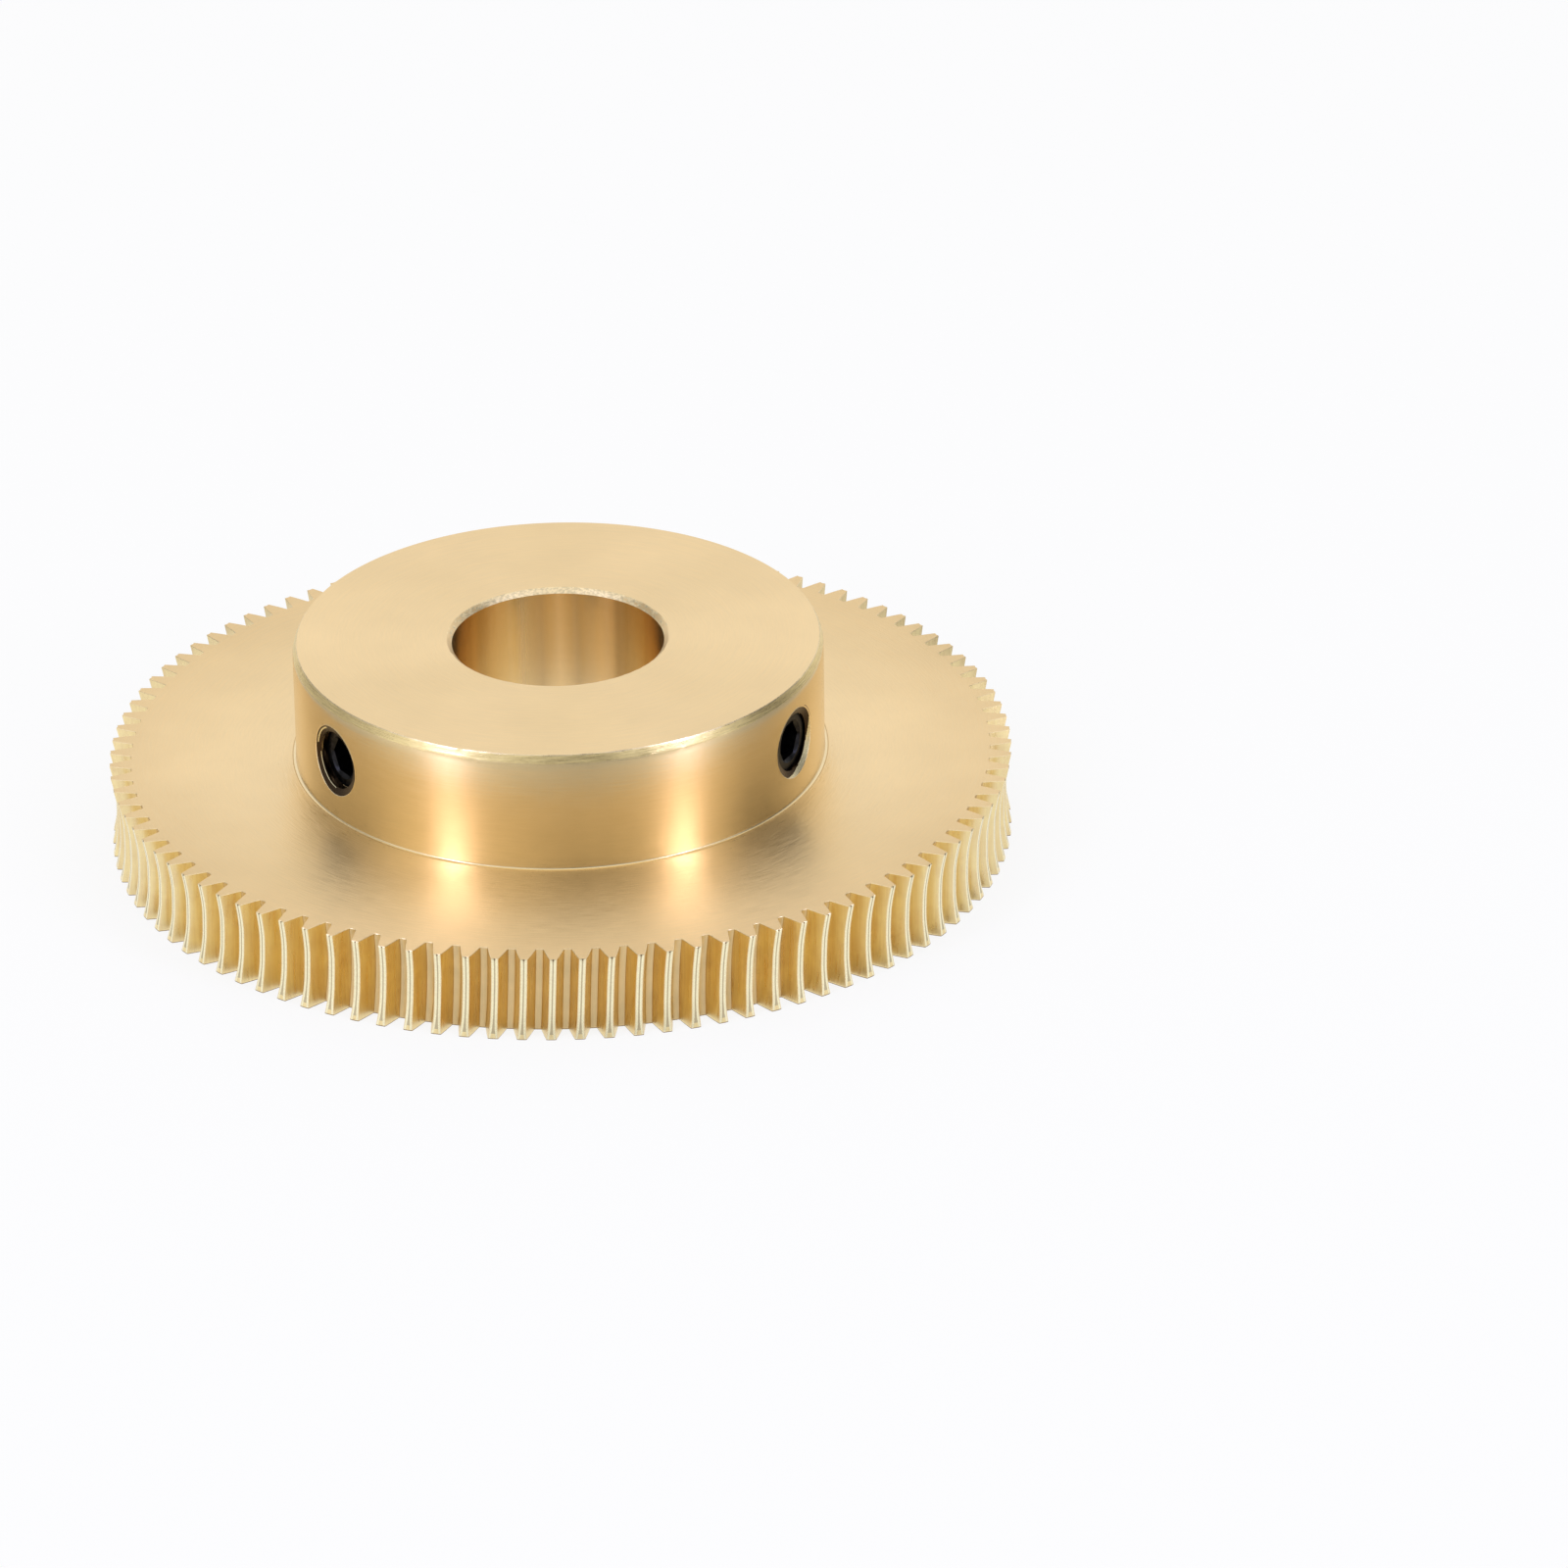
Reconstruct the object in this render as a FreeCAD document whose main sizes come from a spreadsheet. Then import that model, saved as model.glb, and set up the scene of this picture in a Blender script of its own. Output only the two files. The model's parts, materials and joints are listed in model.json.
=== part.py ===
import FreeCAD, Part
import os
import Sketcher

# A brass worm wheel with a hub on one side, and the two set screws that lock it to its shaft.
# Sizes are in millimetres and degrees. Z runs up the bore: the toothed rim stands on Z = 0 and
# the hub is on top of it. One tooth points along -Y, and the set screws sit evenly either side
# of that direction.

SIZES = {
    # Teeth: their tips and roots are hollow along the rim's width, as a round hob leaves them.
    "teeth": 100,
    "tooth_module": 0.5,
    "addendum_factor": 0.6,
    "dedendum_factor": 1.8,
    "root_flat_factor": 0.8,
    "flank_angle": 20,
    "lead_angle": 2.5,
    # Rim: its face width, and how far the tooth corners stand out beyond the hollow tips.
    "face_width": 5,
    "corner_rise": 0.3,
    # How far the cut of a tooth gap runs past the rim on every side.
    "gap_overcut": 0.1,
    # Hub and bore.
    "hub_diameter": 30,
    "hub_height": 7,
    "hub_edge_run": 0.22,
    "hub_edge_drop": 0.56,
    "hub_foot": 0.2,
    "bore_diameter": 12,
    "bore_chamfer": 0.33,
    # Tapped holes for the set screws, at mid height of the hub.
    "screw_spread": 120,
    "screw_diameter": 4,
    "screw_side_gap": 0.05,
    # Set screws: how deep they sit under the hub's wall, and how far short of the bore they stop.
    "screw_sunk": 0.6,
    "screw_point_gap": 0.4,
    "screw_edge": 0.3,
    "point_diameter": 2.5,
    "cup_diameter": 2.0,
    "cup_depth": 0.5,
    "socket_width": 2.0,
    "socket_depth": 2.4,
}

# The hollow of the tips and roots is made of this many straight stretches.
HOLLOW_STEPS = 5

# A sketch coordinate shorter than this lies on the sketch's axis.
ZERO_LENGTH = 1e-9

# Formulas on those sizes that more than one feature uses.
PITCH_RADIUS = "Sizes.tooth_module * Sizes.teeth / 2"
THROAT_RADIUS = f"({PITCH_RADIUS} + Sizes.addendum_factor * Sizes.tooth_module)"
CORNER_RADIUS = f"({THROAT_RADIUS} + Sizes.corner_rise)"
ROOT_RADIUS = f"({PITCH_RADIUS} - Sizes.dedendum_factor * Sizes.tooth_module)"
TIP_HOLLOW = "(((Sizes.face_width / 2) ^ 2 + Sizes.corner_rise ^ 2) / (2 * Sizes.corner_rise))"
ROOT_HOLLOW = f"({TIP_HOLLOW} + {THROAT_RADIUS} - {ROOT_RADIUS})"
HUB_RADIUS = "Sizes.hub_diameter / 2"
BORE_RADIUS = "Sizes.bore_diameter / 2"
TOP_HEIGHT = "(Sizes.face_width + Sizes.hub_height)"
SCREW_HEIGHT = "(Sizes.face_width + Sizes.hub_height / 2)"
SCREW_LENGTH = f"({HUB_RADIUS} - {BORE_RADIUS} - Sizes.screw_sunk - Sizes.screw_point_gap)"


def placement(x="0", y="0", z="0", yaw="0", pitch="0", roll="0"):
    """The formula of a place and its turn, from the formulas of their six numbers."""
    place = f"create(<<vector>>; {x}; {y}; {z})"
    turn = f"create(<<rotation>>; {yaw}; {pitch}; {roll})"
    return f"create(<<placement>>; {place}; {turn})"


def add_sizes(doc):
    """Puts the driving sizes in a sheet, one row each, with their names as aliases."""
    sheet = doc.addObject("Spreadsheet::Sheet", "Sizes")
    for row, (name, value) in enumerate(SIZES.items(), start=1):
        sheet.set(f"A{row}", name)
        sheet.set(f"B{row}", str(value))
        sheet.setAlias(f"B{row}", name)
    doc.recompute()


def origin_feature(body, role):
    """The plane or axis of the body's own origin that has this role."""
    for feature in body.Origin.OriginFeatures:
        if feature.Role == role:
            return feature
    raise RuntimeError(f"{body.Label} has no {role}")


def new_sketch(body, name, plane, offset=None):
    """A sketch on one of the body's origin planes, moved off it by a placement formula."""
    sketch = body.newObject("Sketcher::SketchObject", name)
    sketch.AttachmentSupport = [(origin_feature(body, plane), "")]
    sketch.MapMode = "FlatFace"
    if offset:
        sketch.setExpression("AttachmentOffset", offset)
    return sketch


def add_limit(sketch, formula, *constraint):
    """Adds a constraint whose value follows a formula on the sheet."""
    value = float(sketch.evalExpression(formula))
    index = sketch.addConstraint(Sketcher.Constraint(*constraint, value))
    sketch.setExpression(f"Constraints[{index}]", formula)


def hold_point(sketch, edge, end, x, y):
    """Holds one end of an edge at x and y, both formulas, or on the axis where one is zero."""
    for kind, axis, formula in (("DistanceX", -2, x), ("DistanceY", -1, y)):
        if abs(float(sketch.evalExpression(formula))) < ZERO_LENGTH:
            sketch.addConstraint(Sketcher.Constraint("PointOnObject", edge, end, axis))
        else:
            add_limit(sketch, formula, kind, -1, 1, edge, end)


def draw_outline(sketch, corners):
    """Draws straight lines round a closed outline. A corner is the formulas of its x and y."""
    points = [
        FreeCAD.Vector(float(sketch.evalExpression(x)), float(sketch.evalExpression(y)), 0)
        for x, y in corners
    ]
    edges = [
        sketch.addGeometry(Part.LineSegment(start, end))
        for start, end in zip(points, points[1:] + points[:1])
    ]
    for edge, following, (x, y) in zip(edges, edges[1:] + edges[:1], corners):
        sketch.addConstraint(Sketcher.Constraint("Coincident", edge, 2, following, 1))
        hold_point(sketch, edge, 1, x, y)


def turn_solid(body, name, sketch):
    """Turns a half section once round the sketch's upright axis."""
    solid = body.newObject("PartDesign::Revolution", name)
    solid.Profile = sketch
    solid.ReferenceAxis = (sketch, ["V_Axis"])
    solid.Angle = 360


def repeat_round(body, name, feature, count, angle):
    """Repeats a cut round the body's Z axis and makes it the body's result."""
    pattern = body.newObject("PartDesign::PolarPattern", name)
    pattern.Originals = [feature]
    pattern.Axis = (origin_feature(body, "Z_Axis"), [""])
    pattern.setExpression("Occurrences", count)
    pattern.setExpression("Angle", angle)
    pattern.Refine = False
    body.Tip = pattern


def step_height(step):
    """The height on the rim where a stretch of the hollow ends."""
    return f"({step} / {HOLLOW_STEPS} * Sizes.face_width)"


def hollow_rise(hollow_radius, height):
    """How far a hollow of this radius has risen from its lowest point at mid rim."""
    return f"({hollow_radius} - sqrt({hollow_radius} ^ 2 - ({height} - Sizes.face_width / 2) ^ 2))"


def make_worm_wheel(doc):
    """The wheel: a turned blank with a hollow rim, two screw holes and hobbed teeth."""
    body = doc.addObject("PartDesign::Body", "worm_wheel")
    half_section = new_sketch(body, "half_section", "XZ_Plane")
    rim_heights = [step_height(step) for step in range(HOLLOW_STEPS + 1)]
    draw_outline(
        half_section,
        [(f"{BORE_RADIUS} + Sizes.bore_chamfer", "0")]
        + [(f"{THROAT_RADIUS} + {hollow_rise(TIP_HOLLOW, z)}", z) for z in rim_heights]
        + [
            (f"{HUB_RADIUS} + Sizes.hub_foot", "Sizes.face_width"),
            (HUB_RADIUS, "Sizes.face_width + Sizes.hub_foot"),
            (HUB_RADIUS, f"{TOP_HEIGHT} - Sizes.hub_edge_drop"),
            (f"{HUB_RADIUS} - Sizes.hub_edge_run", TOP_HEIGHT),
            (f"{BORE_RADIUS} + Sizes.bore_chamfer", TOP_HEIGHT),
            (BORE_RADIUS, f"{TOP_HEIGHT} - Sizes.bore_chamfer"),
            (BORE_RADIUS, "Sizes.bore_chamfer"),
        ],
    )
    turn_solid(body, "turned_blank", half_section)
    drill_screw_holes(body)
    cut_teeth(body)
    return body


def drill_screw_holes(body):
    """The tapped holes, as wide as the screws and their gap, from the hub's wall to the bore."""
    turn = "create(<<rotation>>; create(<<vector>>; 0; 1; 0); -Sizes.screw_spread / 2)"
    offset = f"create(<<placement>>; create(<<vector>>; 0; 0; 0); {turn})"
    circle = new_sketch(body, "screw_hole_circle", "XZ_Plane", offset)
    ring = circle.addGeometry(Part.Circle(FreeCAD.Vector(0, 1, 0), FreeCAD.Vector(0, 0, 1), 1))
    hold_point(circle, ring, 3, "0", SCREW_HEIGHT)
    add_limit(circle, "Sizes.screw_diameter / 2 + Sizes.screw_side_gap", "Radius", ring)
    hole = body.newObject("PartDesign::Pocket", "screw_hole")
    hole.Profile = circle
    hole.Type = "Length"
    hole.Reversed = True
    hole.setExpression("Length", f"{HUB_RADIUS} + Sizes.screw_sunk")
    repeat_round(body, "screw_holes", hole, "2", "Sizes.screw_spread")


def cut_teeth(body):
    """The tooth gaps: one gap lofted through sections up the rim, then once per tooth."""
    sections = [gap_section(body, step) for step in range(HOLLOW_STEPS + 1)]
    gap = body.newObject("PartDesign::SubtractiveLoft", "tooth_gap")
    gap.Profile = sections[0]
    gap.Sections = sections[1:]
    gap.Ruled = True
    repeat_round(body, "tooth_gaps", gap, "Sizes.teeth", "360")


def gap_section(body, step):
    """The gap beside the tooth on -Y at one height: a flat root and two sloping flanks.

    Its root rises with the hollow, and it is turned about Z as far as the lead angle leans
    the teeth at that height. The first and last sections stand clear of the rim's faces.
    """
    height = step_height(step)
    if step == 0:
        height = "(-Sizes.gap_overcut)"
    if step == HOLLOW_STEPS:
        height = "(Sizes.face_width + Sizes.gap_overcut)"
    lean = f"({height} - Sizes.face_width / 2) * tan(Sizes.lead_angle) / ({PITCH_RADIUS})"
    turn = f"180 + 180 / Sizes.teeth + {lean} * 180 / pi"
    section = new_sketch(body, f"gap_section_{step}", "XY_Plane", placement(z=height, yaw=turn))
    root_radius = f"({ROOT_RADIUS} + {hollow_rise(ROOT_HOLLOW, height)})"
    reach = f"({CORNER_RADIUS} + Sizes.gap_overcut)"
    root = "(Sizes.root_flat_factor * Sizes.tooth_module / 2)"
    mouth = f"({root} + ({reach} - {root_radius}) * tan(Sizes.flank_angle))"
    draw_outline(
        section,
        [(f"-{root}", root_radius), (root, root_radius), (mouth, reach), (f"-{mouth}", reach)],
    )
    return section


def make_set_screw(doc, name, side):
    """A cup point set screw with a hexagon socket, in the hole on one side of -Y.

    In its own frame the socket end is at zero and the point is up. Side is -1 for the screw
    on the left of -Y, seen from there, and 1 for the one on the right.
    """
    body = doc.addObject("PartDesign::Body", name)
    thread_radius = "Sizes.screw_diameter / 2"
    point_radius = "Sizes.point_diameter / 2"
    half_section = new_sketch(body, f"{name}_section", "XZ_Plane")
    draw_outline(
        half_section,
        [
            ("0", "0"),
            (f"{thread_radius} - Sizes.screw_edge", "0"),
            (thread_radius, "Sizes.screw_edge"),
            (thread_radius, f"{SCREW_LENGTH} - {thread_radius} + {point_radius}"),
            (point_radius, SCREW_LENGTH),
            ("Sizes.cup_diameter / 2", SCREW_LENGTH),
            ("0", f"{SCREW_LENGTH} - Sizes.cup_depth"),
        ],
    )
    turn_solid(body, f"{name}_turned", half_section)
    cut_socket(body, name)
    angle = f"({side} * Sizes.screw_spread / 2)"
    start = f"({HUB_RADIUS} - Sizes.screw_sunk)"
    body.setExpression(
        "Placement",
        placement(
            x=f"{start} * sin({angle})",
            y=f"-{start} * cos({angle})",
            z=SCREW_HEIGHT,
            yaw=f"{angle} + 90",
            pitch="90",
        ),
    )
    return body


def cut_socket(body, name):
    """The hexagon socket in the screw's outer end."""
    hexagon = new_sketch(body, f"{name}_hexagon", "XY_Plane")
    corner_radius = "Sizes.socket_width / 2 / cos(30)"
    draw_outline(
        hexagon,
        [
            (f"{corner_radius} * cos({angle})", f"{corner_radius} * sin({angle})")
            for angle in range(0, 360, 60)
        ],
    )
    socket = body.newObject("PartDesign::Pocket", f"{name}_socket")
    socket.Profile = hexagon
    socket.Type = "Length"
    socket.Reversed = True
    socket.setExpression("Length", "Sizes.socket_depth")
    body.Tip = socket


def check_and_write(doc, bodies):
    """Stops on any failed object or bad solid, and writes one file for each piece."""
    for item in doc.Objects:
        if "Invalid" in item.State or "Error" in item.State:
            raise RuntimeError(f"{item.Label} is {item.State}")
    for body in bodies:
        if body.Shape.isNull() or not body.Shape.isValid() or len(body.Shape.Solids) != 1:
            raise RuntimeError(f"{body.Label} is not one good solid")
    os.makedirs("parts", exist_ok=True)
    for body in bodies:
        body.Shape.exportStep(f"parts/{body.Label}.step")
        print(f"{body.Label}: {body.Shape.Volume:.2f} mm3, {len(body.Shape.Faces)} faces")


def main():
    doc = FreeCAD.newDocument("worm_wheel_part")
    add_sizes(doc)
    bodies = [
        make_worm_wheel(doc),
        make_set_screw(doc, "set_screw_left", -1),
        make_set_screw(doc, "set_screw_right", 1),
    ]
    doc.recompute()
    check_and_write(doc, bodies)


main()
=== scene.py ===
import json
import math
import random

import bmesh
import bpy
from mathutils import Matrix, Vector, noise


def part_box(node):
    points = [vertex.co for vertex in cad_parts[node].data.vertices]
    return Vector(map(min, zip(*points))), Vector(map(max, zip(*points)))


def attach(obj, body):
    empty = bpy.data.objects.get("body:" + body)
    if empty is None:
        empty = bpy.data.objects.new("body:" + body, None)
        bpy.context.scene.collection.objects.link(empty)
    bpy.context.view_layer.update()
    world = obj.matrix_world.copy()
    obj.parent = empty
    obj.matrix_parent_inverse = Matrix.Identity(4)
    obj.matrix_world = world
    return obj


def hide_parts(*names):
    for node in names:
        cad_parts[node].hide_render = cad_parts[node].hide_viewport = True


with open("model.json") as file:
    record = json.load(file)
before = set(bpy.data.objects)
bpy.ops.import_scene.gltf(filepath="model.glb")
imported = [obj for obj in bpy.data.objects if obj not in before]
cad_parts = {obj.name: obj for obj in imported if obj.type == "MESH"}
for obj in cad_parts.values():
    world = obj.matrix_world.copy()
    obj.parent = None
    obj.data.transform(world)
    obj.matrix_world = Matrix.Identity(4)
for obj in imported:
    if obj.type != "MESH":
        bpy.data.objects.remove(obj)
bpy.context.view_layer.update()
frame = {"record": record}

bl_info = {
    "name": "Worm Wheel",
    "version": (1, 0, 0),
    "blender": (4, 5, 0),
    "location": "View3D > Sidebar > Worm Wheel",
    "description": "Makes a brass worm wheel with its two set screws, on a studio floor",
    "category": "Add Mesh",
}

# Lengths are in metres. The bore runs up Z, the rim stands on Z = 0, and turns round the bore
# are counted from -Y towards +X.
MM = 0.001
FULL_TURN = 2 * math.pi

# What the solids give.
_, WHEEL_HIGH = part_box("worm_wheel")
SCREW_LOW, SCREW_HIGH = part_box("set_screw_right")
SCREW_MIDDLE = (SCREW_LOW + SCREW_HIGH) / 2
SCREW_TURN = math.atan2(SCREW_MIDDLE.x, -SCREW_MIDDLE.y)
MOUNTS = {mount["name"]: mount for mount in frame["record"]["mounts"]}
BORE_RADIUS = MOUNTS["bore"]["dims"]["r_mm"] * MM


def length(name, description, default):
    """A size in metres that the user may change."""
    return bpy.props.FloatProperty(
        name=name, description=description, default=default, min=0, unit="LENGTH",
        subtype="DISTANCE", precision=5,
    )


def colour(name, description, default):
    """A surface colour that the user may change."""
    return bpy.props.FloatVectorProperty(
        name=name, description=description, default=default, min=0, max=1, size=3,
        subtype="COLOR",
    )


def factor(name, description, default, most=1.0):
    """A plain number that the user may change."""
    return bpy.props.FloatProperty(
        name=name, description=description, default=default, min=0, max=most
    )


class WormWheelSizes(bpy.types.PropertyGroup):
    """Sizes of the wheel and its screws."""

    teeth: bpy.props.IntProperty(
        name="Teeth", description="Number of teeth round the rim", default=100, min=20
    )
    tip_radius: length("Tip radius", "Radius over the tips at mid rim", 25.3 * MM)
    root_radius: length("Root radius", "Radius at the tooth roots at mid rim", 24.1 * MM)
    corner_radius: length("Corner radius", "Radius over the tips at both faces", WHEEL_HIGH.x)
    root_flat: length("Root flat", "Width of the flat between two teeth", 0.4 * MM)
    flank_angle: bpy.props.FloatProperty(
        name="Flank angle", description="Slope of a flank from the middle of its gap",
        default=math.radians(18.5), subtype="ANGLE", unit="ROTATION",
    )
    lead_angle: bpy.props.FloatProperty(
        name="Lead angle", description="How far the teeth lean to follow the worm's thread",
        default=math.radians(2.5), subtype="ANGLE", unit="ROTATION",
    )
    face_width: length("Face width", "Height of the toothed rim", 5 * MM)
    total_height: length("Total height", "Height of rim and hub", WHEEL_HIGH.z)
    hub_radius: length("Hub radius", "Radius of the hub's wall", 15 * MM)
    bore_radius: length("Bore radius", "Radius of the bore for the shaft", BORE_RADIUS)
    thread_radius: length("Thread radius", "Outer radius of the set screws' thread", 2 * MM)
    thread_pitch: length("Thread pitch", "Height of one turn of the thread", 0.7 * MM)
    socket_width: length("Socket width", "Hexagon socket across its flats", 2 * MM)


class WormWheelFinish(bpy.types.PropertyGroup):
    """Colours of the wheel and its screws, painted highlight and painted shade among them."""

    brass: colour("Turned brass", "Faces as turned", (0.88, 0.67, 0.375))
    hub: colour("Hub brass", "Hub wall", (0.86, 0.69, 0.41))
    cut: colour("Cut brass", "Tooth flanks as hobbed", (0.98, 0.755, 0.415))
    chamfer: colour("Chamfer brass", "Chamfers, broken with a rough tool", (1.0, 0.79, 0.4))
    torn: colour("Torn brass", "Torn part of the bore's chamfer", (0.9, 0.74, 0.46))
    root: colour("Root brass", "Tooth roots, scraped by the hob's tips", (0.74, 0.55, 0.285))
    # Painted highlight: lines along the tooth tips, and marks on the holes' chamfers.
    bright: colour("Bright brass", "Rubbed lines along the tooth tips", (1.0, 0.90, 0.62))
    edge: colour("Edge brass", "Fine edges", (0.88, 0.72, 0.45))
    # Painted shade: the dark line along the middle of the tooth tips.
    tip_painted_shade: colour("Dull brass", "Middle line of the tips", (0.58, 0.49, 0.31))
    # A quarter of this tone is the painted shade on the threads and mouths of the tapped holes.
    dark: colour("Dark brass", "Burrs, nicks and the tapped holes", (0.25, 0.16, 0.09))
    screw: colour("Black oxide", "The set screws", (0.02, 0.02, 0.022))
    grain: factor("Turning marks", "Strength of the turning marks", 0.2)


class WormWheelStage(bpy.types.PropertyGroup):
    """Light and floor of the studio."""

    lamp: factor("Side lamps", "Brightness of the two upright side lamps", 5.4, 20.0)
    wall: factor("Studio wall", "Brightness of the grey wall behind the camera", 0.43)
    sky: factor("Sky", "Brightness of the even light from all round", 0.925)
    floor: colour("Floor", "Colour of the floor", (0.93, 0.93, 0.93))


# Mesh. Faces that meet at more than this many degrees have a sharp edge.
SHARP_ANGLE = 28
# Waves round a broken edge, and how far apart the waves of two edges may be drawn.
WAVES = 14
WAVE_SPAN = 100
ROUND_STEPS = 360
BORE_STEPS = 144

# Hollow rim. Levels run from 0 at its lower face to 1 at its upper one.
RIM_LEVELS = (0.02, 0.06, 0.12, 0.19, 0.26, 0.33, 0.39, 0.45, 0.52, 0.6, 0.68, 0.76, 0.84,
              0.91, 0.98)
# The tips rise to both faces in a shallow curve, and flare up outside the rim's middle share.
MIDDLE_SHARE = 0.3
FLARE_SHARE = 0.6
FLARE_POWER = 1.4
# The roots have this share of the tips' rise.
ROOT_RISE = 0.9

# Teeth. Widths of the fine edges at the faces and beside the tips, and of the painted shade line.
EDGE = 0.02 * MM
LAND_EDGE = 0.05 * MM
LINE_HALF = 0.04 * MM
NICK = 0.04 * MM
ROOT_FILLET = 0.06 * MM
FILLET_MIDDLE = 0.25
TIP_CROWN = 0.012 * MM
FLANK_CROWN = 0.012 * MM
# Rows up a flank: share of the tooth's height, and share of the crown there.
FLANK_ROWS = ((0.3, 0.5), (0.55, 1.0), (0.8, 0.5))
# The burred lowest band of the teeth, and the rows above it without the tips' painted shade line.
FOOT_EDGE = 0.05 * MM
FOOT_ROWS = 2
# Low on the rim half of the teeth lean a little to one side, and all of them spread.
TEETH_SEED = 11
KINK_LEVEL = 0.4
KINK_WAYS = (0, 0, 1, -1)
KINK_LEAST = 0.3
KINK_MOST = 0.035 * MM
SPREAD_LEAST = 0.6
SPREAD_MOST = 0.15 * MM
SPREAD_POWER = 4

# Rings of the wheel. Fine rows beside an edge hold its shading.
WHEEL_SEED = 5
RIM_RING = 0.2 * MM
FINE_EDGE = 0.02 * MM
EDGE_RING = 4 * FINE_EDGE
HUB_CHAMFER_RUN = 0.22 * MM
HUB_CHAMFER_DROP = 0.5 * MM
HUB_CHAMFER_ROWS = ((0.1, "hub"), (0.3, "chamfer"), (0.5, "chamfer"), (0.72, "chamfer"),
                    (0.9, "chamfer"))
HUB_CHAMFER_GAP = 0.15 * MM
HUB_STRAY = 0.04 * MM
HUB_STRAY_ACROSS = HUB_STRAY / 4
BORE_CHAMFER = 0.28 * MM
BORE_CHAMFER_ROWS = (0.1, 0.35, 0.7)
BORE_STRAY = 0.025 * MM
# The bore's chamfer is torn round its back. At this many degrees from there half of it is,
# and the spots end at this many times as far.
TORN_HALF = 60
TORN_REACH = 1.5
FOOT_FILLET = 0.1 * MM
FILLET_STEPS = 5
# Rings cut round the hub's foot, from the outside in: distance from the fillet, depth, finish.
FOOT_RINGS = (
    (0.2 * MM, 0, "flange"),
    (0.16 * MM, 0.006 * MM, "flange"),
    (0.12 * MM, 0, "flange"),
    (0.09 * MM, 0.015 * MM, "root"),
    (0.05 * MM, 0.015 * MM, "root"),
    (0, 0, "hub"),
)

# Tapped holes. Each has a square patch of the wall's cells, filled by rows that turn round.
HOLE_GAP = 0.05 * MM
PATCH_HALF = 2.6 * MM
PATCH_ROWS = 20
MOUTH_ROWS = (0.35, 0.6, 0.8)
MOUTH_EDGE = 0.03 * MM
# Burr at the mouth: its height, and the shares of it that are even, uneven and sideways.
MOUTH_BURR = 0.015 * MM
BURR_EVEN = 0.6
BURR_UNEVEN = 0.4
BURR_SIDEWAYS = 0.15
# A scratch beside the right hole, in degrees from the sideways direction.
SCRATCHES = ((18, 56),)
SCRATCH_AWAY = 0.06 * MM
SCRATCH_WIDTH = 0.05 * MM
# Shallow chamfer at the mouth of a hole.
SINK_STEPS = 9
SINK_WIDTH = 0.38 * MM
SINK_DEPTH = 0.17 * MM
# Painted highlights on the holes' chamfers, in degrees from the sideways direction: a crescent
# on the right hole, and two thin arcs on the left one, each with the shares of the chamfer's
# width that it takes up.
CRESCENT_PAINTED_HIGHLIGHT = (-122, 22)
ARCS_PAINTED_HIGHLIGHT = ((-178, -92, 0.8, 0.95), (112, 168, 0.3, 0.45))
# Thread: its depth, its rows to a turn, and the share of its pitch that each flat takes up.
THREAD_DEPTH = 0.4 * MM
THREAD_ROWS = 8
THREAD_FLAT = 0.12
# The crests in the hole keep a brass tone where the thread's wave is below this; the rest of
# the thread is painted dark, as shade in the hole.
CREST_SHARE = 0.08

# Set screws. How deep each one sits below the hub's wall, left and right.
SCREW_SUNK = {-1: 0.62 * MM, 1: 0.38 * MM}
SCREW_STEPS = 96
SCREW_EDGE = 0.3 * MM
# Their grooves are a little deeper than the hole's.
GROOVE_DEPTH = 1.05 * THREAD_DEPTH
WORN_EDGE = 0.03 * MM
POINT_SUNK = 0.4 * MM
POINT_RADIUS = 1.25 * MM
CUP_RADIUS = 1.0 * MM
CUP_DEPTH = 0.5 * MM
SOCKET_MOUTH = 0.06 * MM
SOCKET_CHAMFER = 0.14 * MM
SOCKET_DEPTH = 2.4 * MM
# The drill's tip at the socket's end: share of the socket's half width, and depth.
DRILL_SHARE = 0.85
DRILL_TIP = 0.4 * MM

# Finishes. Noise values lie mostly between these two numbers.
NOISE_LOW = 0.3
NOISE_HIGH = 0.7
NOISE_ROUGHNESS = 0.6
# From this radius outwards the flange gets rougher.
FLANGE_INSIDE = 15 * MM
# Painted reflections down the bore's wall, as upright light and dark streaks: bearing from the
# back in degrees, and tone.
BORE_PAINTED_REFLECTIONS = (
    (-180, 0.9), (-90, 0.95), (-56, 0.86), (-24, 1.2), (-7, 0.84), (3, 1.14), (13, 0.8),
    (26, 1.1), (33, 1.0), (36, 0.74), (65, 1.0), (180, 0.9),
)
# Turning marks of the faces against those of the hub's wall.
FACE_GRAIN = 4
FLANGE_GRAIN = 5
# Tone of the threads in the holes against dark brass, darkened as painted shade, and of bare
# edges against black oxide, which are worn steel and partly a painted highlight.
THREAD_PAINTED_SHADE_TONE = 0.25
WORN_AND_HIGHLIGHT_TONE = 16
# Turns the shine's long way across the turning marks.
QUARTER_TURN = 0.25

# Camera.
CAMERA_PLACE = (-15.550 * MM, -500.026 * MM, 259.753 * MM)
CAMERA_AZIMUTH = -3.23
CAMERA_ELEVATION = 27.23
CAMERA_ROLL = -0.796
CAMERA_LENS = 226.95
CAMERA_SENSOR = 36
CAMERA_CLIP = (0.05, 10)

# Floor. This share of what is seen of it is plain white, and the rest keeps the shadow.
FLOOR_REACH = 2.0
FLOOR_ROUGHNESS = 0.9
WHITE_SHARE = 0.85
# Beyond this radius the metal also sees a shine on it.
SHINE_FROM = 33 * MM
SHINE_SHARE = 0.8
SHINE_ROUGHNESS = 0.38
FLOOR_SHINE = (0.8, 0.75, 0.62, 1)
WHITE = (1, 1, 1, 1)

# Studio. Bearings are degrees round the wheel from the camera's side.
WALL_RADIUS = 0.62
WALL_HEIGHT = 0.7
WALL_STEP = 3
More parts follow.
